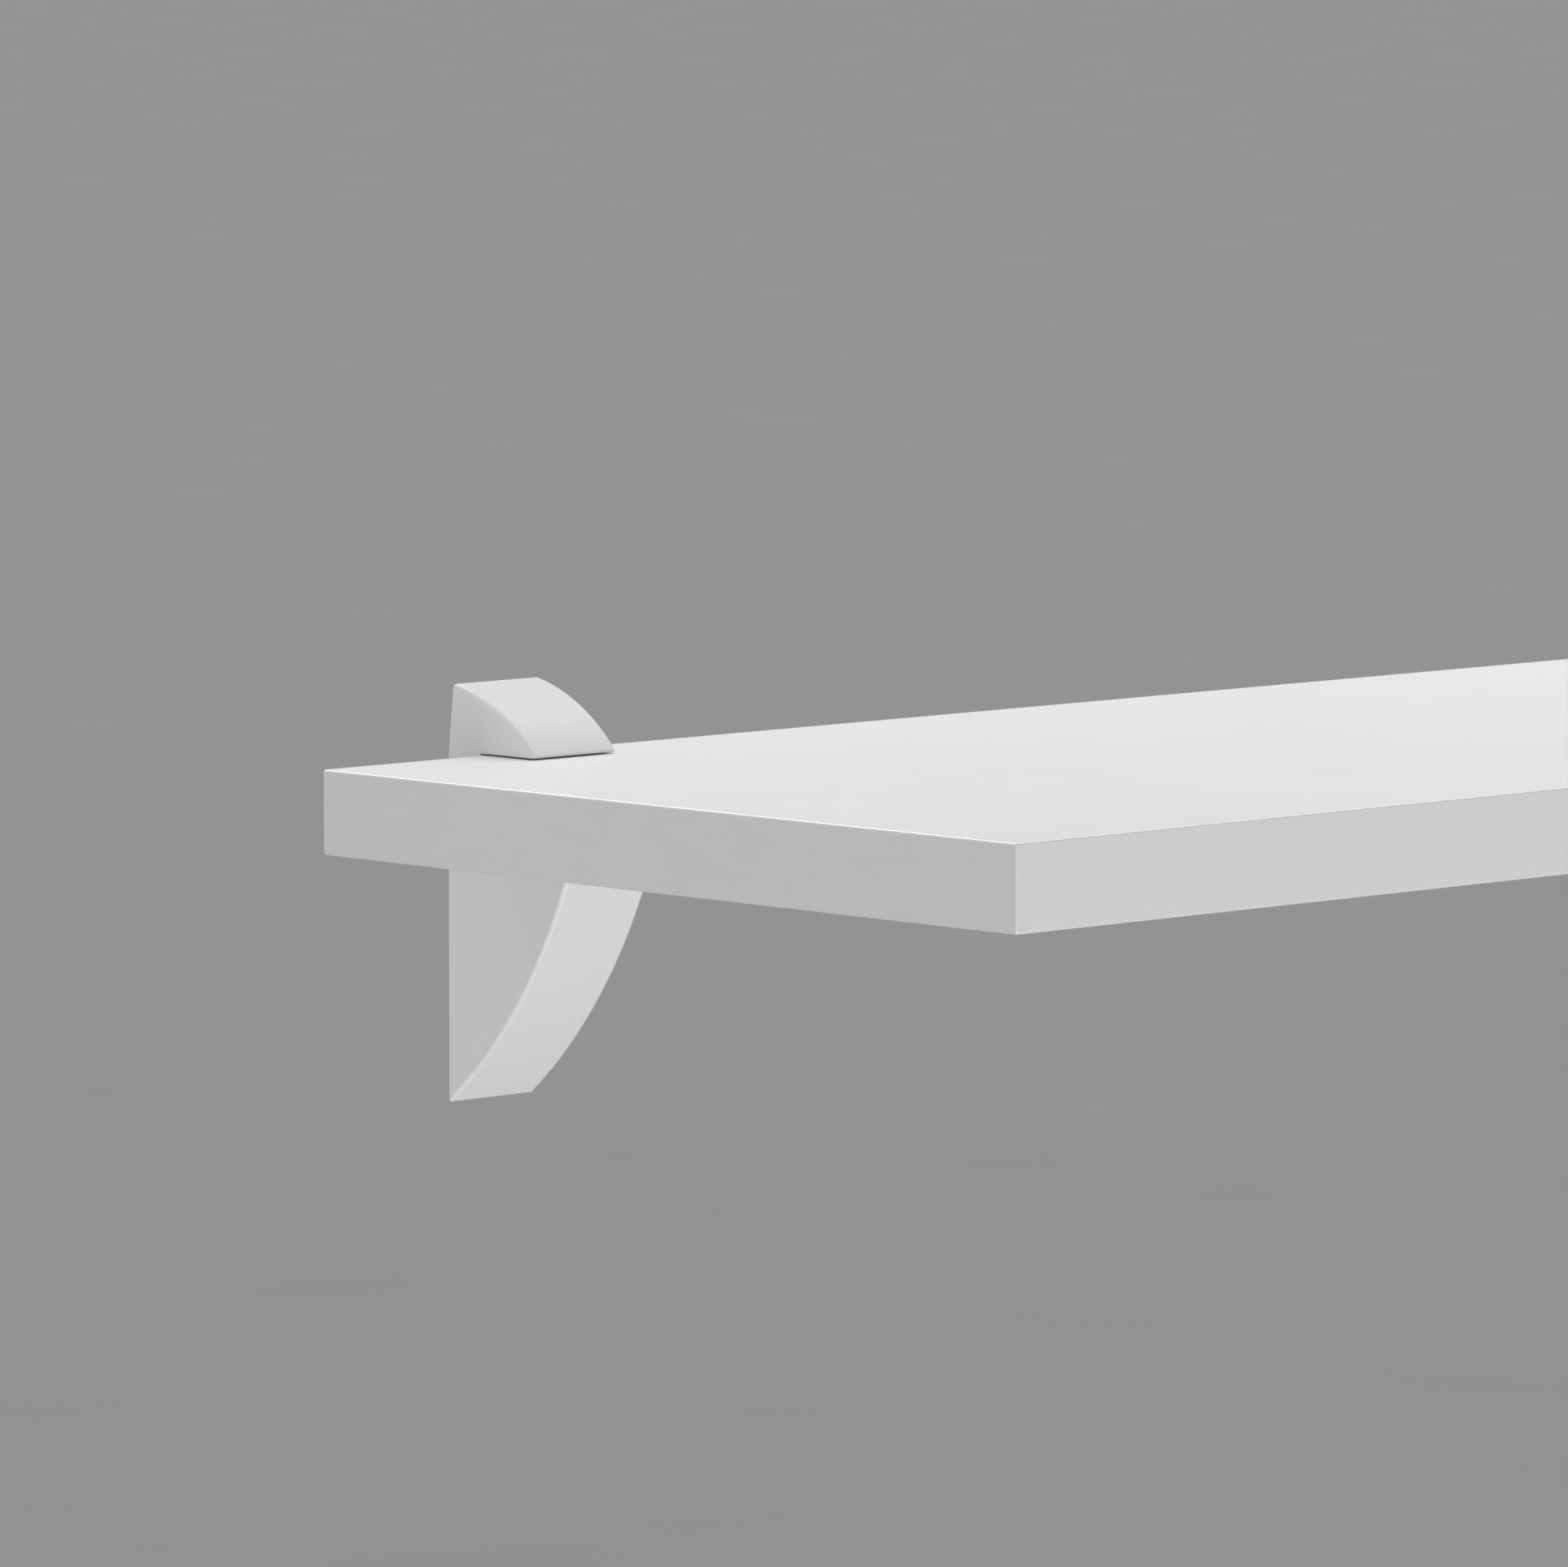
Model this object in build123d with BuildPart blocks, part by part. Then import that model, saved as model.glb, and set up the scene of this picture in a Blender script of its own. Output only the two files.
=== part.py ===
"""Wall shelf: a melamine-faced board held along its back edge by two clamping brackets.

Each bracket is a die-cast carrier that is screwed to the wall. A clamp jaw slides up and down in the
carrier's neck, behind the board, and one screw pulls it down on the board. A fin-shaped cover hides the
carrier below the board and a hood hides the jaw and its screw above it.

Frame: +X runs along the board, +Y into the wall, +Z up. The wall's face is Y = 0, the board's
underside is Z = 0, and the origin is midway between the two brackets, at the centre of the four wall
screw holes.
"""

from build123d import *
import math
import os

# Shelf board
BOARD_LENGTH = 800.0
BOARD_DEPTH = 250.0
BOARD_THICKNESS = 22.0
STAND_OFF = 13.0  # from the wall to the board's back edge
FACE_SHEET = 0.4  # melamine sheet on the top and the underside
EDGE_BAND = 1.0
EDGE_RADIUS = 0.7
CORNER_RADIUS = 0.3  # down the board's four upright corners

# Bracket, outside
BRACKET_INSET = 68.8  # from the board's end to the bracket's middle
BRACKET_WIDTH = 29.2
COVER_WALL = 1.8
COVER_FRONT = 2.0
COVER_EDGE_RADIUS = 1.0
RIM_GAP = 0.2  # between the fin's rim and the board
HOOD_GAP = 0.4  # between the hood's rim and the board

# Fin outline, as (y, z): a round front that runs down to a sharp edge at the wall
FIN_REAR = -0.3
FIN_TIP = (-0.8, -69.3)
FIN_FRONT = (-48.4, -RIM_GAP)
FIN_RADIUS = 149.5

# Hood outline, as (y, z): its rear leans away from the wall, and a skirt reaches down behind the board
HOOD_REAR = -0.5
HOOD_FRONT = (-33.4, BOARD_THICKNESS + HOOD_GAP)
HOOD_TIP = (-2.4, 40.1)
HOOD_RADIUS = 55.0
HOOD_LIP_RADIUS = 0.4
SKIRT_FRONT = -12.6
SKIRT_FOOT = 10.4

# Carrier
PLATE_THICKNESS = 3.0
PLATE_WIDTH = 24.6
PLATE_TOP = 36.5
PLATE_BOTTOM = -60.0
PLATE_CORNER = 4.0
HOLE_HEIGHT = 30.0  # wall screw holes, above and below the board's underside
HOLE_RADIUS = 2.75
COUNTERSINK_RADIUS = 5.0
NECK_FRONT = -12.9
NECK_FLANGE = 1.8
NECK_SPAN = (0.1, SKIRT_FOOT - HOOD_GAP)
NECK_FLOOR = 0.7
ARM_WIDTH = 24.4
ARM_FRONT = -43.5
ARM_SPAN = (-5.0, -1.0)
ARM_NOSE_RADIUS = 2.0
GUSSET_INSIDE = 6.8
GUSSET_THICKNESS = 2.2
GUSSET_FOOT = -54.0
GUSSET_GAP = 2.5  # between the gussets' edge and the fin's front wall
BOSS_WIDTH = 12.0
BOSS_FRONT = -12.7
BOSS_TOP = 8.0

# Clamp screw, M5 x 50 with a hexagon socket head
SCREW_Y = -7.8
SCREW_RADIUS = 2.5
SCREW_LENGTH = 50.0
SCREW_HOLE_RADIUS = 2.75
HEAD_RADIUS = 4.25
HEAD_HEIGHT = 5.0
HEAD_EDGE_RADIUS = 0.4
TIP_CHAMFER = 0.6
HEX_KEY = 4.0
HEX_DEPTH = 2.5
WASHER_RADIUS = 4.5
WASHER_THICKNESS = 1.0
CLIP_THICKNESS = 0.7
CLIP_SLOT = 3.6
CLIP_GAP = 0.1  # under the jaw
GROOVE_RADIUS = 2.0
NUT_WIDTH = 8.0
NUT_THICKNESS = 4.0
NUT_BOTTOM = 2.0
NUT_THREAD_RADIUS = 2.55
NUT_PLAY = 0.1

# Clamp jaw
JAW_CLEARANCE = 0.8  # over the board, for the pad to fill
JAW_TOP = 27.5
JAW_NOSE_TOP = 24.4
JAW_REAR = -3.4
JAW_SHOULDER = -20.0
JAW_FRONT = -27.0
JAW_WIDTH = 24.0
LEG_BOTTOM = 1.0
LEG_FRONT = -12.4
LEG_INSIDE = 6.5
LEG_OUTSIDE = 12.4

# Pads, set in shallow pockets
PAD_WIDTH = 22.0
PAD_GAP = 0.05
PAD_CORNER = 1.0
PAD_REAR = -14.0
POCKET_DEPTH = 0.6
POCKET_PLAY = 0.1
UPPER_PAD_FRONT = -26.0
LOWER_PAD_FRONT = -42.0

# Ribs that hold the covers
TONGUE_Y = -18.0
TONGUE_WIDTH = 2.0
TONGUE_DEPTH = 1.4
TONGUE_BOTTOM = 23.4
SEAT_Y = -11.0
SEAT_WIDTH = 1.6
SEAT_DEPTH = 2.2
RAIL_Z = -3.1
RAIL_HEIGHT = 1.0
RAIL_DEPTH = 1.3
RAIL_SPAN = (-42.0, -12.0)
GROOVE_DEPTH = 1.0
RIB_PLAY = 0.3

OVERSHOOT = 1.0  # how far cuts and joined blocks run on past the face they meet

BRACKET_X = BOARD_LENGTH / 2 - BRACKET_INSET
INSIDE_WIDTH = BRACKET_WIDTH - 2 * COVER_WALL
BOARD_BACK = -STAND_OFF
BOARD_FRONT = -STAND_OFF - BOARD_DEPTH
JAW_UNDERSIDE = BOARD_THICKNESS + JAW_CLEARANCE
HEAD_UNDERSIDE = JAW_TOP + WASHER_THICKNESS
CLIP_TOP = JAW_UNDERSIDE - CLIP_GAP


def block(x_span, y_span, z_span, mode=Mode.ADD):
    """A box between two x, two y and two z values."""
    spans = (x_span, y_span, z_span)
    middle = tuple(sum(span) / 2 for span in spans)
    with Locations(middle):
        Box(*(abs(span[1] - span[0]) for span in spans), mode=mode)


def both_sides(x, inside, outside):
    """The x spans of a pair of features that stand left and right of the bracket's middle."""
    return [(x + side * inside, x + side * outside) for side in (-1, 1)]


def centred(x, width):
    return (x - width / 2, x + width / 2)


def arc_centre(lower, upper, radius):
    """Centre, as (y, z), of the arc between two points that bulges away from the wall."""
    chord = Vector(*upper) - Vector(*lower)
    middle = (Vector(*upper) + Vector(*lower)) / 2
    reach = math.sqrt(radius**2 - (chord.length / 2) ** 2)
    centre = middle + Vector(chord.Y, -chord.X).normalized() * reach
    return centre.X, centre.Y


FIN_CENTRE = arc_centre(FIN_TIP, FIN_FRONT, FIN_RADIUS)
HOOD_CENTRE = arc_centre(HOOD_FRONT, HOOD_TIP, HOOD_RADIUS)


def round_profile(x, centre, radius, corners):
    """The part of a disc inside a polygon, in the vertical plane at x that stands square to the wall."""
    with BuildSketch(Plane.YZ.offset(x)) as profile:
        with Locations(centre):
            Circle(radius)
        Polygon(*corners, align=None, mode=Mode.INTERSECT)
    return profile.sketch


def rectangle(y_span, z_span):
    """Corners, as (y, z), of an upright rectangle."""
    rear, front = max(y_span), min(y_span)
    foot, top = min(z_span), max(z_span)
    return [(rear, foot), (rear, top), (front, top), (front, foot)]


def save(part, name):
    part.label = name
    export_step(part, f"parts/{name}.step")


# Shelf board


def board_layer(z_span):
    """The core or one of its face sheets: all three end at the edge bands."""
    with BuildPart() as layer:
        block(
            centred(0, BOARD_LENGTH - 2 * EDGE_BAND),
            (BOARD_FRONT + EDGE_BAND, BOARD_BACK - EDGE_BAND),
            z_span,
        )
    return layer.part


def long_band(y_outside, y_inside):
    """Edge band over the full length, rounded along its outer edges and down its two corners."""
    with BuildPart() as band:
        block(centred(0, BOARD_LENGTH), (y_outside, y_inside), (0, BOARD_THICKNESS))
        outermost = 0 if y_outside < y_inside else -1
        fillet(band.edges().filter_by(Axis.Z).group_by(Axis.Y)[outermost], radius=CORNER_RADIUS)
        fillet(band.edges().filter_by(Axis.X).group_by(Axis.Y)[outermost], radius=EDGE_RADIUS)
    return band.part


def end_band(side):
    """Edge band between the two long ones, rounded along its outer edges."""
    outside = side * BOARD_LENGTH / 2
    with BuildPart() as band:
        block(
            (outside, outside - side * EDGE_BAND),
            (BOARD_FRONT + EDGE_BAND, BOARD_BACK - EDGE_BAND),
            (0, BOARD_THICKNESS),
        )
        outer_face = band.faces().sort_by(Axis.X)[-1 if side > 0 else 0]
        fillet(outer_face.edges().filter_by(Axis.Y), radius=EDGE_RADIUS)
    return band.part


# Bracket, below and behind the board


def carrier(x):
    """Die casting: wall plate, neck, nut boss, and an arm with two gussets that carries the board."""
    hole_places = [(x, -PLATE_THICKNESS, z) for z in (-HOLE_HEIGHT, HOLE_HEIGHT)]
    gusset_radius = FIN_RADIUS - COVER_FRONT - GUSSET_GAP
    gusset_corners = rectangle(
        (-PLATE_THICKNESS + OVERSHOOT, ARM_FRONT + OVERSHOOT),
        (GUSSET_FOOT, ARM_SPAN[0] + OVERSHOOT),
    )
    with BuildPart() as casting:
        with BuildSketch(Plane.XZ) as plate:
            with Locations((x, (PLATE_TOP + PLATE_BOTTOM) / 2)):
                RectangleRounded(PLATE_WIDTH, PLATE_TOP - PLATE_BOTTOM, PLATE_CORNER)
        extrude(amount=PLATE_THICKNESS)
        block(centred(x, ARM_WIDTH), (ARM_FRONT, 0), ARM_SPAN)
        nose = casting.edges().filter_by(Axis.X).group_by(Axis.Y)[0]
        fillet(nose.sort_by(Axis.Z)[0], radius=ARM_NOSE_RADIUS)
        block(centred(x, BOSS_WIDTH), (BOSS_FRONT, 0), (ARM_SPAN[0], BOSS_TOP))
        for gusset_x in (x - GUSSET_INSIDE - GUSSET_THICKNESS, x + GUSSET_INSIDE):
            extrude(
                round_profile(gusset_x, FIN_CENTRE, gusset_radius, gusset_corners),
                amount=GUSSET_THICKNESS,
            )
        for span in both_sides(x, INSIDE_WIDTH / 2, BRACKET_WIDTH / 2):
            block(span, (NECK_FRONT, 0), NECK_SPAN)
        # The neck's back and floor tie its flanges to the plate and the arm
        block(centred(x, BRACKET_WIDTH), (-PLATE_THICKNESS, 0), NECK_SPAN)
        block(centred(x, BRACKET_WIDTH), (NECK_FRONT, 0), (NECK_SPAN[0], NECK_FLOOR))
        block(centred(x, ARM_WIDTH), (NECK_FRONT, 0), (ARM_SPAN[0], NECK_FLOOR))
        # Pocket for the lower pad
        block(
            centred(x, PAD_WIDTH + 2 * POCKET_PLAY),
            (LOWER_PAD_FRONT - POCKET_PLAY, PAD_REAR + POCKET_PLAY),
            (ARM_SPAN[1] - POCKET_DEPTH, ARM_SPAN[1] + OVERSHOOT),
            mode=Mode.SUBTRACT,
        )
        # Grooves in the arm's sides for the fin's rails
        for span in both_sides(x, ARM_WIDTH / 2 - GROOVE_DEPTH, ARM_WIDTH / 2 + OVERSHOOT):
            block(
                span,
                (ARM_FRONT - OVERSHOOT, RAIL_SPAN[1] + RIB_PLAY),
                (RAIL_Z - RAIL_HEIGHT / 2 - RIB_PLAY, RAIL_Z + RAIL_HEIGHT / 2 + RIB_PLAY),
                mode=Mode.SUBTRACT,
            )
        # Slot for the nut, open on one side, and the screw's hole down through the boss and the arm
        block(
            (x - NUT_WIDTH / 2 - NUT_PLAY, x + BOSS_WIDTH / 2 + OVERSHOOT),
            (SCREW_Y - NUT_WIDTH / 2 - NUT_PLAY, SCREW_Y + NUT_WIDTH / 2 + NUT_PLAY),
            (NUT_BOTTOM, NUT_BOTTOM + NUT_THICKNESS + NUT_PLAY),
            mode=Mode.SUBTRACT,
        )
        with Locations((x, SCREW_Y, BOSS_TOP)):
            Hole(SCREW_HOLE_RADIUS)
        for place in hole_places:
            with Locations(Plane(origin=place, z_dir=(0, -1, 0))):
                CounterSinkHole(HOLE_RADIUS, COUNTERSINK_RADIUS, counter_sink_angle=90)
    return casting.part


def fin_cover(x):
    """Shell over the carrier below the board, open at the rear and the top, with two rails inside."""
    outside = rectangle((FIN_REAR, FIN_FRONT[0] - OVERSHOOT), (FIN_TIP[1], -RIM_GAP))
    inside = rectangle((OVERSHOOT, FIN_FRONT[0] - OVERSHOOT), (FIN_TIP[1], OVERSHOOT))
    inner_radius = FIN_RADIUS - COVER_FRONT
    left = x - BRACKET_WIDTH / 2
    with BuildPart() as cover:
        extrude(round_profile(left, FIN_CENTRE, FIN_RADIUS, outside), amount=BRACKET_WIDTH)
        fillet(cover.edges().filter_by(GeomType.CIRCLE), radius=COVER_EDGE_RADIUS)
        extrude(
            round_profile(left + COVER_WALL, FIN_CENTRE, inner_radius, inside),
            amount=INSIDE_WIDTH,
            mode=Mode.SUBTRACT,
        )
        for span in both_sides(x, INSIDE_WIDTH / 2 - RAIL_DEPTH, INSIDE_WIDTH / 2 + COVER_WALL / 2):
            block(span, RAIL_SPAN, centred(RAIL_Z, RAIL_HEIGHT))
    return cover.part


# Bracket, above the board


def hood_cover(x):
    """Cap over the jaw and the screw's head, open at the rear and below.

    Two side skirts close the neck behind the board. Of the four ribs inside, two grip grooves in the
    jaw's sides and two rest on its top.
    """
    outside = [
        (HOOD_REAR, SKIRT_FOOT),
        (HOOD_REAR, HOOD_FRONT[1]),
        HOOD_TIP,
        (HOOD_FRONT[0], HOOD_TIP[1]),
        HOOD_FRONT,
        (SKIRT_FRONT, HOOD_FRONT[1]),
        (SKIRT_FRONT, SKIRT_FOOT),
    ]
    inside = rectangle((OVERSHOOT, HOOD_FRONT[0]), (SKIRT_FOOT - OVERSHOOT, HOOD_TIP[1]))
    inner_radius = HOOD_RADIUS - COVER_FRONT
    left = x - BRACKET_WIDTH / 2
    half = INSIDE_WIDTH / 2
    with BuildPart() as cover:
        extrude(round_profile(left, HOOD_CENTRE, HOOD_RADIUS, outside), amount=BRACKET_WIDTH)
        tip = cover.edges().filter_by(Axis.X).sort_by(Axis.Z)[-1:]
        fillet(cover.edges().filter_by(GeomType.CIRCLE) + tip, radius=COVER_EDGE_RADIUS)
        lip = cover.edges().filter_by(Axis.X).sort_by(Axis.Y)[0]
        fillet(lip, radius=HOOD_LIP_RADIUS)
        extrude(
            round_profile(left + COVER_WALL, HOOD_CENTRE, inner_radius, inside),
            amount=INSIDE_WIDTH,
            mode=Mode.SUBTRACT,
        )
        for side in (-1, 1):
            for y, width, depth, foot in (
                (TONGUE_Y, TONGUE_WIDTH, TONGUE_DEPTH, TONGUE_BOTTOM),
                (SEAT_Y, SEAT_WIDTH, SEAT_DEPTH, JAW_TOP),
            ):
                rib_left = min(x + side * (half - depth), x + side * (half + COVER_WALL / 2))
                extrude(
                    round_profile(
                        rib_left,
                        HOOD_CENTRE,
                        HOOD_RADIUS - COVER_FRONT / 2,
                        rectangle(centred(y, width), (foot, HOOD_TIP[1])),
                    ),
                    amount=depth + COVER_WALL / 2,
                )
    return cover.part


def clamp_jaw(x):
    """Slider: two legs guided in the neck, and an arm that reaches over the board."""
    side_view = [
        (JAW_REAR, JAW_UNDERSIDE),
        (JAW_REAR, JAW_TOP),
        (JAW_SHOULDER, JAW_TOP),
        (JAW_FRONT, JAW_NOSE_TOP),
        (JAW_FRONT, JAW_UNDERSIDE),
    ]
    with BuildPart() as jaw:
        with BuildSketch(Plane.YZ.offset(x - JAW_WIDTH / 2)):
            Polygon(*side_view, align=None)
        extrude(amount=JAW_WIDTH)
        for span in both_sides(x, LEG_INSIDE, LEG_OUTSIDE):
            block(span, (LEG_FRONT, JAW_REAR), (LEG_BOTTOM, JAW_UNDERSIDE + OVERSHOOT))
        block(
            centred(x, PAD_WIDTH + 2 * POCKET_PLAY),
            (UPPER_PAD_FRONT - POCKET_PLAY, PAD_REAR + POCKET_PLAY),
            (JAW_UNDERSIDE - OVERSHOOT, JAW_UNDERSIDE + POCKET_DEPTH),
            mode=Mode.SUBTRACT,
        )
        groove_floor = INSIDE_WIDTH / 2 - TONGUE_DEPTH - RIB_PLAY
        for span in both_sides(x, groove_floor, JAW_WIDTH / 2 + OVERSHOOT):
            block(
                span,
                centred(TONGUE_Y, TONGUE_WIDTH + 2 * RIB_PLAY),
                (JAW_UNDERSIDE - OVERSHOOT, JAW_TOP + OVERSHOOT),
                mode=Mode.SUBTRACT,
            )
        with Locations((x, SCREW_Y, JAW_TOP)):
            Hole(SCREW_HOLE_RADIUS)
    return jaw.part


# Clamp screw and what goes with it


def clamp_screw(x):
    """Socket head screw with a groove under the jaw for its retaining clip."""
    tip = HEAD_UNDERSIDE - SCREW_LENGTH
    with BuildPart() as screw:
        with BuildSketch(Plane.XY.offset(tip)):
            with Locations((x, SCREW_Y)):
                Circle(SCREW_RADIUS)
        extrude(amount=SCREW_LENGTH)
        chamfer(screw.edges().sort_by(Axis.Z)[0], length=TIP_CHAMFER)
        with BuildSketch(Plane.XY.offset(HEAD_UNDERSIDE)):
            with Locations((x, SCREW_Y)):
                Circle(HEAD_RADIUS)
        extrude(amount=HEAD_HEIGHT)
        fillet(screw.edges().sort_by(Axis.Z)[-1], radius=HEAD_EDGE_RADIUS)
        with BuildSketch(Plane.XY.offset(HEAD_UNDERSIDE + HEAD_HEIGHT)):
            with Locations((x, SCREW_Y)):
                RegularPolygon(HEX_KEY / 2, 6, major_radius=False)
        extrude(amount=-HEX_DEPTH, mode=Mode.SUBTRACT)
        with BuildSketch(Plane.XY.offset(CLIP_TOP)):
            with Locations((x, SCREW_Y)):
                Circle(SCREW_RADIUS + OVERSHOOT)
                Circle(GROOVE_RADIUS, mode=Mode.SUBTRACT)
        extrude(amount=-CLIP_THICKNESS, mode=Mode.SUBTRACT)
    return screw.part


def ring(x, foot, thickness, outer_radius, inner_radius):
    with BuildPart() as disc:
        with BuildSketch(Plane.XY.offset(foot)):
            with Locations((x, SCREW_Y)):
                Circle(outer_radius)
                Circle(inner_radius, mode=Mode.SUBTRACT)
        extrude(amount=thickness)
    return disc.part


def retaining_clip(x):
    """Open ring pushed sideways into the screw's groove, so that the screw also lifts the jaw."""
    with BuildPart() as clip:
        add(ring(x, CLIP_TOP - CLIP_THICKNESS, CLIP_THICKNESS, WASHER_RADIUS, GROOVE_RADIUS))
        block(
            centred(x, CLIP_SLOT),
            (SCREW_Y, SCREW_Y - WASHER_RADIUS - OVERSHOOT),
            (CLIP_TOP - CLIP_THICKNESS, CLIP_TOP),
            mode=Mode.SUBTRACT,
        )
    return clip.part


def clamp_nut(x):
    """Square nut that the slot in the boss keeps from turning."""
    with BuildPart() as nut:
        block(
            centred(x, NUT_WIDTH),
            centred(SCREW_Y, NUT_WIDTH),
            (NUT_BOTTOM, NUT_BOTTOM + NUT_THICKNESS),
        )
        with Locations((x, SCREW_Y, NUT_BOTTOM + NUT_THICKNESS)):
            Hole(NUT_THREAD_RADIUS)
    return nut.part


def pad(x, y_front, z_span):
    with BuildPart() as strip:
        block(centred(x, PAD_WIDTH), (y_front, PAD_REAR), z_span)
        fillet(strip.edges().filter_by(Axis.Z), radius=PAD_CORNER)
    return strip.part


os.makedirs("parts", exist_ok=True)

save(board_layer((FACE_SHEET, BOARD_THICKNESS - FACE_SHEET)), "board_core")
save(board_layer((BOARD_THICKNESS - FACE_SHEET, BOARD_THICKNESS)), "board_top_face")
save(board_layer((0, FACE_SHEET)), "board_bottom_face")
save(long_band(BOARD_FRONT, BOARD_FRONT + EDGE_BAND), "board_front_band")
save(long_band(BOARD_BACK, BOARD_BACK - EDGE_BAND), "board_back_band")
save(end_band(-1), "board_left_band")
save(end_band(1), "board_right_band")

for side, bracket_x in (("left", -BRACKET_X), ("right", BRACKET_X)):
    save(carrier(bracket_x), f"carrier_{side}")
    save(fin_cover(bracket_x), f"fin_cover_{side}")
    save(hood_cover(bracket_x), f"hood_cover_{side}")
    save(clamp_jaw(bracket_x), f"clamp_jaw_{side}")
    save(clamp_screw(bracket_x), f"clamp_screw_{side}")
    washer = ring(bracket_x, JAW_TOP, WASHER_THICKNESS, WASHER_RADIUS, SCREW_HOLE_RADIUS)
    save(washer, f"screw_washer_{side}")
    save(retaining_clip(bracket_x), f"retaining_clip_{side}")
    save(clamp_nut(bracket_x), f"clamp_nut_{side}")
    lower_span = (ARM_SPAN[1] - POCKET_DEPTH, -PAD_GAP)
    save(pad(bracket_x, LOWER_PAD_FRONT, lower_span), f"lower_pad_{side}")
    upper_span = (BOARD_THICKNESS + PAD_GAP, JAW_UNDERSIDE + POCKET_DEPTH)
    save(pad(bracket_x, UPPER_PAD_FRONT, upper_span), f"upper_pad_{side}")
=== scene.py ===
"""Studio picture of the clamp-bracket wall shelf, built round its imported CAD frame."""

import math

import bpy
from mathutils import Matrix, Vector

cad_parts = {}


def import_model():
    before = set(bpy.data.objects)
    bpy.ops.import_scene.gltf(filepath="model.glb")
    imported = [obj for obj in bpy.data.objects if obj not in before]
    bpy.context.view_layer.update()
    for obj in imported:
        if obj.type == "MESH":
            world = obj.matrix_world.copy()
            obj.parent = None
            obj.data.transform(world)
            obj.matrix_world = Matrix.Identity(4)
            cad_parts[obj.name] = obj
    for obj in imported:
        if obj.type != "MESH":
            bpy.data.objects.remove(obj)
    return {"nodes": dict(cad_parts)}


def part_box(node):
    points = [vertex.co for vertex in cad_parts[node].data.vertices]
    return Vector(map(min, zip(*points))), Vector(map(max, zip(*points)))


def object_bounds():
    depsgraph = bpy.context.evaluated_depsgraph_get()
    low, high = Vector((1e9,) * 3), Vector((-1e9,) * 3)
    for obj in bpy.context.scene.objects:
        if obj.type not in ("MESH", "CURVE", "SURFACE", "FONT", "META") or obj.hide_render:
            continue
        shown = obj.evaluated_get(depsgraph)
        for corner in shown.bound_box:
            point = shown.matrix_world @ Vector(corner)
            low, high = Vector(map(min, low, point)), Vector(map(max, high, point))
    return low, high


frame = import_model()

# Lengths are in metres, angles in degrees, and the lens and its sensor in millimetres
MM = 0.001
SIDES = ("left", "right")
cad_low, cad_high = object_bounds()
end_low, end_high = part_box("board_left_band")

# Camera: a long lens from the front left, a little above the board
AZIMUTH = -43.67
ELEVATION = 5.65
DISTANCE = 2.5895
LENS = 238.8
SENSOR_WIDTH = 36
SIGHT_LIMIT = 1000
AIM_FROM_END = 43 * MM
AIM_ABOVE_TOP = 2.4 * MM
aim = Vector(
    (
        end_low.x + AIM_FROM_END,
        (end_low.y + end_high.y) / 2,
        end_high.z + AIM_ABOVE_TOP,
    )
)

# Floor, far enough below for views from under the shelf, and the light from all round
FLOOR_DROP = 6.0
FLOOR_SIZE = 1200.0
FLOOR_TONE = 0.56
FLOOR_DARKEST = 0.96 * FLOOR_TONE
FLOOR_LIGHTEST = 1.04 * FLOOR_TONE
FLOOR_CLOUD = 1.5
FLOOR_ROUGHNESS = 0.9
WORLD_STRENGTH = 0.495

# Lights, as name: (direction from the aimed point, distance, size, power in watts)
LIGHTS = {
    "low_front": ((0.1, -1.0, -0.7), 2.6, 1.4, 34),
    "left_fill": ((-1.0, -0.2, -0.1), 3.0, 1.6, 22.5),
    "top_rear": ((0.1, 0.8, 1.0), 2.6, 1.6, 34),
    "right_rim": ((0.75, 0.15, 0.6), 2.2, 1.2, 12),
}

# Broken edges of the pieces inside the brackets
CAST_EDGE = 0.35 * MM
STEEL_EDGE = 0.12 * MM
PAD_EDGE = 0.25 * MM
EDGE_SEGMENTS = 2
EDGE_ANGLE = 50

# White surfaces: sizes of the drifts in tone and gloss, and how far they go
TONE_DRIFT = 90 * MM
SMALL_DRIFT_IN_GRAINS = 4
GLOSS_DRIFT = 30 * MM
DARKER_WHITE = 0.96
ROUGHNESS_REACH = 0.03

# Chipboard
CHIP_SIZE = 3.2 * MM
CHIP_FLATNESS = 2.5
CHIP_ROUGHNESS = 0.85
CHIP_RELIEF = 1.1 * MM
CHIP_RELIEF_DEPTH = 0.15 * MM
DARK_CHIP = (0.42, 0.3, 0.17)
PALE_CHIP = (0.72, 0.57, 0.38)

# Steel
ZINC = (0.68, 0.69, 0.70)
DARK_STEEL = (0.16, 0.16, 0.17)
DARKER_STEEL = 0.8
TURNED_STRETCH = 6.0
MARK_SIZE = 0.6 * MM
MARK_DEPTH = 0.03 * MM
SMOOTHER_MARKS = 0.08
ROUGHER_MARKS = 0.1
PATCH_SIZE = 2.5 * MM

# Rubber
RUBBER = (0.022, 0.022, 0.023)
RUBBER_BLOOM = (0.05, 0.05, 0.05)
RUBBER_GRAIN = 0.5 * MM
RUBBER_DEPTH = 0.06 * MM
BLOOM_SIZE = 6 * MM
RUBBER_SMOOTHEST = 0.62
RUBBER_ROUGHEST = 0.82


# Node helpers


def shader_of(name):
    """A new material, with its node tree and its Principled shader."""
    material = bpy.data.materials.new(name)
    material.use_nodes = True
    tree = material.node_tree
    shader = tree.nodes["Principled BSDF"]
    return material, tree, shader


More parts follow.
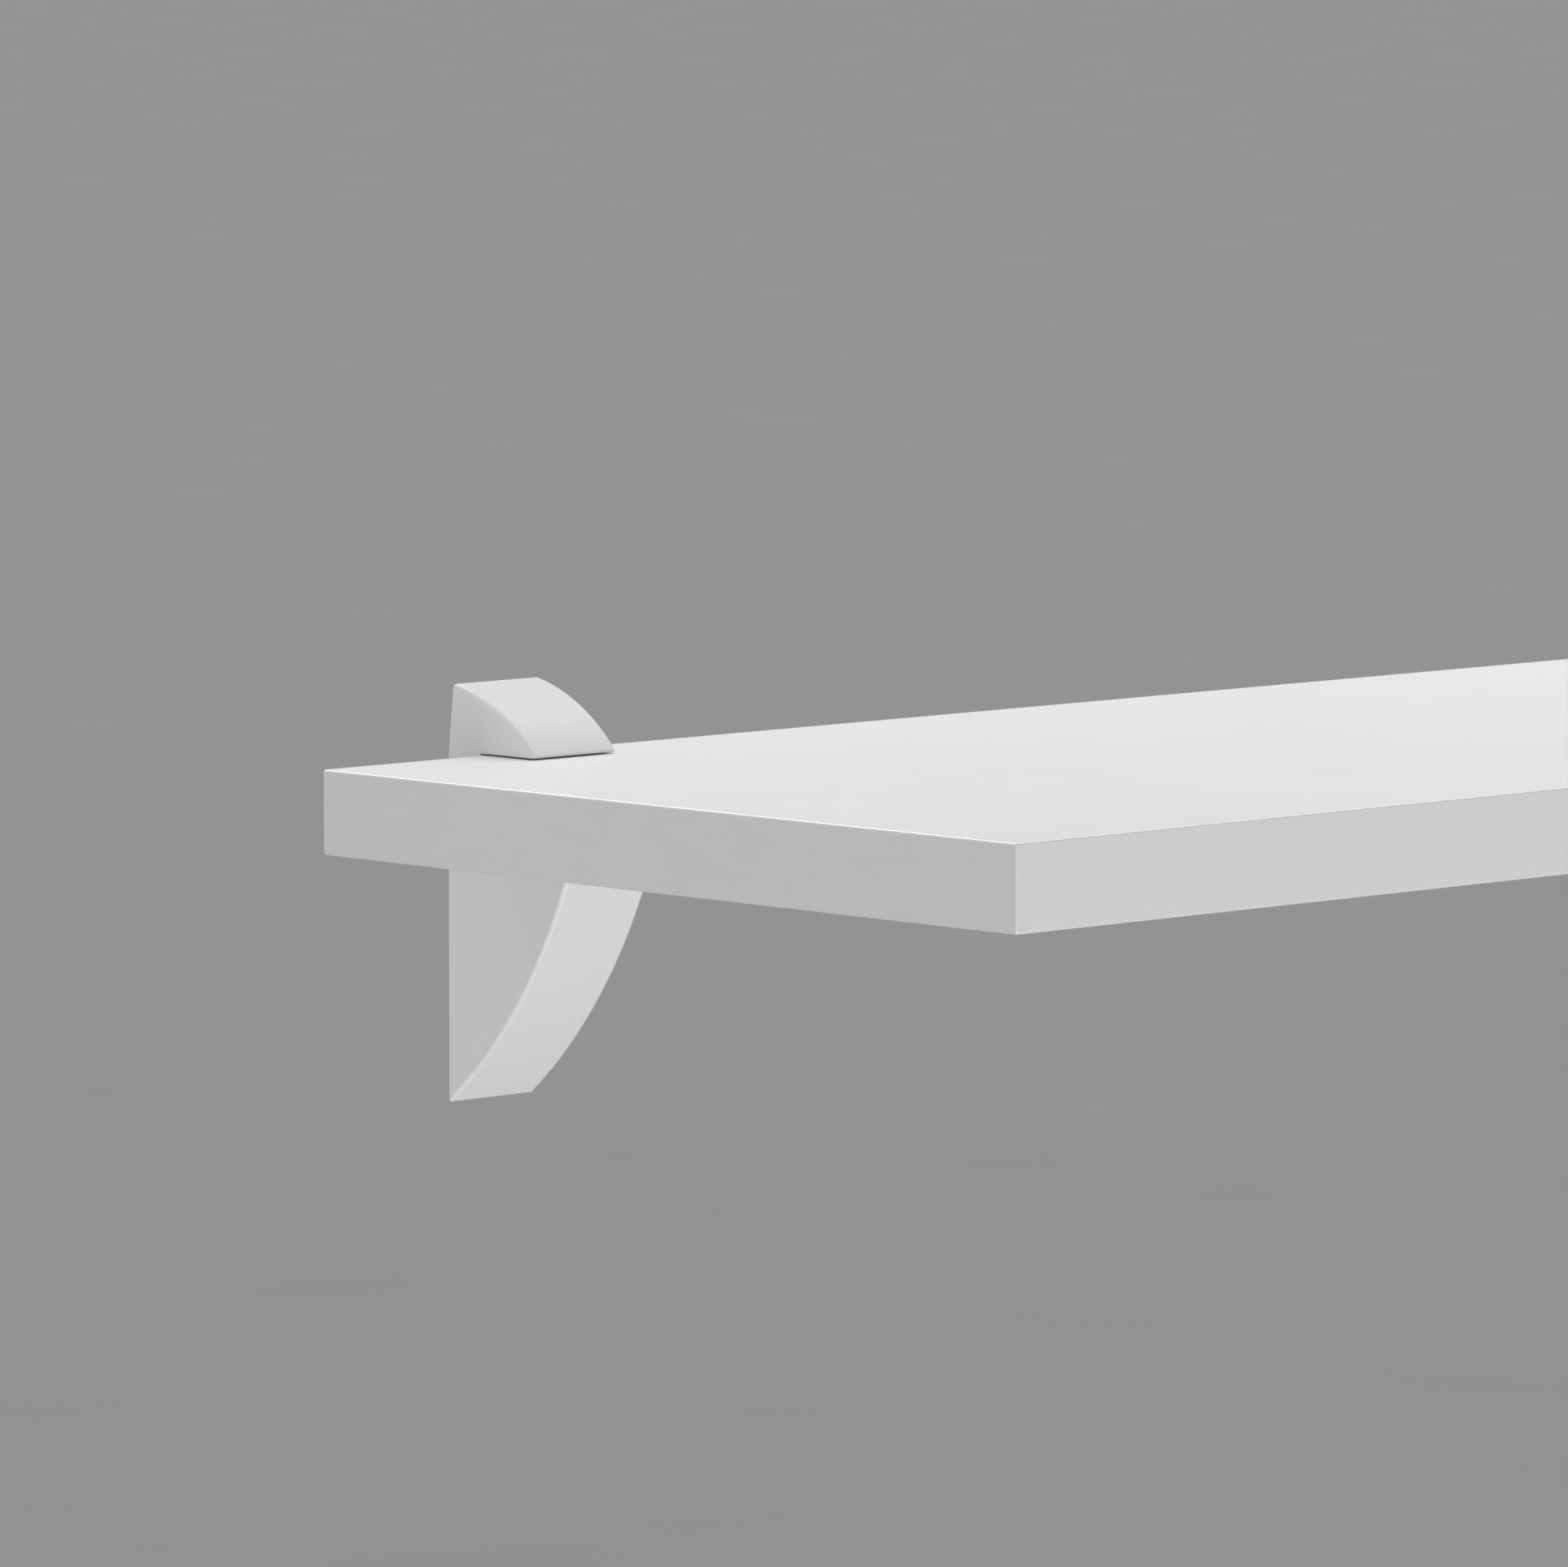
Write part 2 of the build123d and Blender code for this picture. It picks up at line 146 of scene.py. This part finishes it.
def add_node(tree, kind, links=(), **settings):
    """Adds a node. Settings named after an input socket fill it, and the others are its properties."""
    node = tree.nodes.new(kind)
    for name, value in settings.items():
        socket = name.replace("_", " ").title()
        if socket in node.inputs:
            node.inputs[socket].default_value = value
        else:
            setattr(node, name, value)
    for source, target in links:
        tree.links.new(source, node.inputs[target])
    return node


def object_space(tree, stretch=(1, 1, 1)):
    """Coordinates in metres, fixed to the object, and multiplied by stretch for grain that runs one way."""
    place = add_node(tree, "ShaderNodeTexCoord")
    mapping = add_node(tree, "ShaderNodeMapping", [(place.outputs["Object"], "Vector")])
    mapping.inputs["Scale"].default_value = stretch
    return mapping.outputs["Vector"]


def noise(tree, where, size, detail=2.0, roughness=0.5):
    """Noise whose lumps are about this size, in metres."""
    node = add_node(tree, "ShaderNodeTexNoise", [(where, "Vector")], detail=detail, roughness=roughness)
    node.inputs["Scale"].default_value = 1 / size
    return node.outputs["Fac"]


def ramp(tree, factor, low, high, start=0.35, stop=0.65):
    """A value that goes from low to high while the factor goes from start to stop."""
    node = add_node(tree, "ShaderNodeMapRange", [(factor, "Value")])
    for name, value in (("From Min", start), ("From Max", stop), ("To Min", low), ("To Max", high)):
        node.inputs[name].default_value = value
    return node.outputs["Result"]


def blend_colours(tree, factor, first, second):
    """A colour that goes from first to second while the factor goes from 0 to 1."""
    node = add_node(tree, "ShaderNodeMix", data_type="RGBA")
    tree.links.new(factor, node.inputs["Factor"])
    node.inputs["A"].default_value = (*first, 1)
    node.inputs["B"].default_value = (*second, 1)
    return node.outputs["Result"]


def bump(tree, height, depth, strength):
    """Relief of this depth, in metres."""
    node = add_node(tree, "ShaderNodeBump", [(height, "Height")])
    node.inputs["Strength"].default_value = strength
    node.inputs["Distance"].default_value = depth
    return node.outputs["Normal"]


def link(tree, shader, **outputs):
    """Links each output to the shader's input of that name."""
    for name, output in outputs.items():
        tree.links.new(output, shader.inputs[name.replace("_", " ").title()])


def grey(tone):
    return (tone, tone, tone)


# Materials


def white_surface(name, tone, roughness, grain, grain_depth, stretch=(1, 1, 1), ior=1.5):
    """White that is not quite even: broad and small drifts of tone, drifting gloss, and a fine relief."""
    material, tree, shader = shader_of(name)
    where = object_space(tree)
    along = object_space(tree, stretch)
    drift = add_node(tree, "ShaderNodeMath", operation="ADD")
    tree.links.new(noise(tree, where, TONE_DRIFT), drift.inputs[0])
    tree.links.new(noise(tree, along, SMALL_DRIFT_IN_GRAINS * grain, detail=3.0), drift.inputs[1])
    lightness = ramp(tree, drift.outputs["Value"], 0, 1, start=0.5, stop=1.5)
    gloss = noise(tree, where, GLOSS_DRIFT)
    smoothest, roughest = roughness - ROUGHNESS_REACH, roughness + ROUGHNESS_REACH
    fine = noise(tree, along, grain, roughness=0.6)
    link(
        tree,
        shader,
        base_color=blend_colours(tree, lightness, grey(DARKER_WHITE * tone), grey(tone)),
        roughness=ramp(tree, gloss, smoothest, roughest, start=0.2, stop=0.8),
        normal=bump(tree, fine, grain_depth, strength=0.5),
    )
    shader.inputs["IOR"].default_value = ior
    return material


def chipboard():
    """Pressed chips, each of its own tone between dark and pale, under a fine rough relief."""
    material, tree, shader = shader_of("chipboard")
    where = object_space(tree, (1, 1, CHIP_FLATNESS))
    flakes = add_node(tree, "ShaderNodeTexVoronoi", [(where, "Vector")], randomness=1.0)
    flakes.inputs["Scale"].default_value = 1 / CHIP_SIZE
    relief = noise(tree, where, CHIP_RELIEF, detail=5.0, roughness=0.7)
    flake_tone = add_node(tree, "ShaderNodeRGBToBW", [(flakes.outputs["Color"], "Color")])
    paleness = ramp(tree, flake_tone.outputs["Val"], 0, 1, start=0.2, stop=0.8)
    link(
        tree,
        shader,
        base_color=blend_colours(tree, paleness, DARK_CHIP, PALE_CHIP),
        normal=bump(tree, relief, CHIP_RELIEF_DEPTH, strength=0.7),
    )
    shader.inputs["Roughness"].default_value = CHIP_ROUGHNESS
    return material


def metal(name, tone, roughness, turned):
    """Steel with patches of tone. With turned above 1, its fine marks are flattened, as on a turned piece."""
    material, tree, shader = shader_of(name)
    where = object_space(tree, (1, 1, turned))
    marks = noise(tree, where, MARK_SIZE, detail=4.0, roughness=0.65)
    patches = noise(tree, object_space(tree), PATCH_SIZE, detail=3.0)
    darker = tuple(DARKER_STEEL * channel for channel in tone)
    link(
        tree,
        shader,
        base_color=blend_colours(tree, ramp(tree, patches, 0, 1), darker, tone),
        roughness=ramp(tree, marks, roughness - SMOOTHER_MARKS, roughness + ROUGHER_MARKS),
        normal=bump(tree, marks, MARK_DEPTH, strength=0.5),
    )
    shader.inputs["Metallic"].default_value = 1.0
    return material


def rubber():
    """Black rubber with a paler bloom in patches and a fine grain."""
    material, tree, shader = shader_of("pad_rubber")
    where = object_space(tree)
    grain = noise(tree, where, RUBBER_GRAIN, detail=4.0, roughness=0.7)
    bloom = noise(tree, where, BLOOM_SIZE, detail=3.0)
    link(
        tree,
        shader,
        base_color=blend_colours(tree, ramp(tree, bloom, 0, 1), RUBBER, RUBBER_BLOOM),
        roughness=ramp(tree, grain, RUBBER_SMOOTHEST, RUBBER_ROUGHEST),
        normal=bump(tree, grain, RUBBER_DEPTH, strength=0.6),
    )
    return material


# Dressing the CAD nodes


def dress(node, material):
    slots = frame["nodes"][node].data.materials
    slots.clear()
    slots.append(material)


def round_edges(node, width):
    """Breaks a CAD node's sharp edges. Its faces stay where they are."""
    edges = frame["nodes"][node].modifiers.new("broken_edges", "BEVEL")
    edges.width = width
    edges.segments = EDGE_SEGMENTS
    edges.limit_method = "ANGLE"
    edges.angle_limit = math.radians(EDGE_ANGLE)


def dress_board():
    melamine = white_surface(
        "melamine", tone=0.83, roughness=0.42, grain=1.6 * MM, grain_depth=0.02 * MM
    )
    # The edge band's white is darker than the melamine's. Part of that is the band's own tone, and part is
    # painted shade on the board's front, back and ends.
    banding_with_painted_shade = white_surface(
        "edge_band",
        tone=0.77,
        roughness=0.2,
        grain=1.3 * MM,
        grain_depth=0.003 * MM,
        stretch=(0.4, 0.4, 1),
        ior=1.75,
    )
    dress("board_core", chipboard())
    for face in ("top", "bottom"):
        dress(f"board_{face}_face", melamine)
    for edge in ("front", "back", "left", "right"):
        dress(f"board_{edge}_band", banding_with_painted_shade)


def dress_brackets():
    cover = white_surface(
        "white_cover", tone=0.80, roughness=0.42, grain=1.2 * MM, grain_depth=0.02 * MM
    )
    casting = white_surface(
        "white_casting", tone=0.76, roughness=0.4, grain=1.0 * MM, grain_depth=0.05 * MM
    )
    zinc_steel = metal("zinc_steel", ZINC, roughness=0.3, turned=TURNED_STRETCH)
    spring_steel = metal("spring_steel", DARK_STEEL, roughness=0.42, turned=1.0)
    pad_rubber = rubber()
    finishes = {
        "fin_cover": cover,
        "hood_cover": cover,
        "carrier": casting,
        "clamp_jaw": casting,
        "clamp_screw": zinc_steel,
        "screw_washer": zinc_steel,
        "clamp_nut": zinc_steel,
        "retaining_clip": spring_steel,
        "upper_pad": pad_rubber,
        "lower_pad": pad_rubber,
    }
    broken_edges = {
        "carrier": CAST_EDGE,
        "clamp_jaw": CAST_EDGE,
        "clamp_nut": STEEL_EDGE,
        "screw_washer": STEEL_EDGE,
        "retaining_clip": STEEL_EDGE,
        "lower_pad": PAD_EDGE,
        "upper_pad": PAD_EDGE,
    }
    for side in SIDES:
        for piece, material in finishes.items():
            dress(f"{piece}_{side}", material)
        for piece, width in broken_edges.items():
            round_edges(f"{piece}_{side}", width)


# Studio


def floor():
    mesh = bpy.data.meshes.new("studio_floor")
    half = FLOOR_SIZE / 2
    height = cad_low.z - FLOOR_DROP
    corners = [(-half, -half, height), (half, -half, height), (half, half, height), (-half, half, height)]
    mesh.from_pydata(corners, [], [(0, 1, 2, 3)])
    plane = bpy.data.objects.new("studio_floor", mesh)
    bpy.context.scene.collection.objects.link(plane)
    material, tree, shader = shader_of("studio_floor")
    cloud = noise(tree, object_space(tree), FLOOR_CLOUD)
    tones = blend_colours(tree, cloud, grey(FLOOR_DARKEST), grey(FLOOR_LIGHTEST))
    link(tree, shader, base_color=tones)
    shader.inputs["Roughness"].default_value = FLOOR_ROUGHNESS
    mesh.materials.append(material)


def area_light(name, direction, distance, size, power):
    """A soft square light that shines at the aimed point from this direction."""
    data = bpy.data.lights.new(name, "AREA")
    data.shape = "SQUARE"
    data.size = size
    data.energy = power
    light = bpy.data.objects.new(name, data)
    towards = Vector(direction).normalized()
    light.location = aim + towards * distance
    light.rotation_mode = "QUATERNION"
    light.rotation_quaternion = (-towards).to_track_quat("-Z", "Y")
    bpy.context.scene.collection.objects.link(light)


def world():
    """Even white light from all round."""
    surroundings = bpy.data.worlds.new("studio")
    surroundings.use_nodes = True
    background = surroundings.node_tree.nodes["Background"]
    background.inputs["Color"].default_value = (1, 1, 1, 1)
    background.inputs["Strength"].default_value = WORLD_STRENGTH
    bpy.context.scene.world = surroundings


def camera():
    azimuth, elevation = math.radians(AZIMUTH), math.radians(ELEVATION)
    back = Vector(
        (
            math.sin(azimuth) * math.cos(elevation),
            -math.cos(azimuth) * math.cos(elevation),
            math.sin(elevation),
        )
    )
    data = bpy.data.cameras.new("camera")
    data.lens = LENS
    data.sensor_width = SENSOR_WIDTH
    data.clip_end = SIGHT_LIMIT
    eye = bpy.data.objects.new("camera", data)
    eye.location = aim + back * DISTANCE
    eye.rotation_mode = "QUATERNION"
    eye.rotation_quaternion = (-back).to_track_quat("-Z", "Y")
    bpy.context.scene.collection.objects.link(eye)
    bpy.context.scene.camera = eye


bpy.context.scene.view_settings.view_transform = "Standard"
dress_board()
dress_brackets()
floor()
world()
for name, (direction, distance, size, power) in LIGHTS.items():
    area_light(name, direction, distance, size, power)
camera()
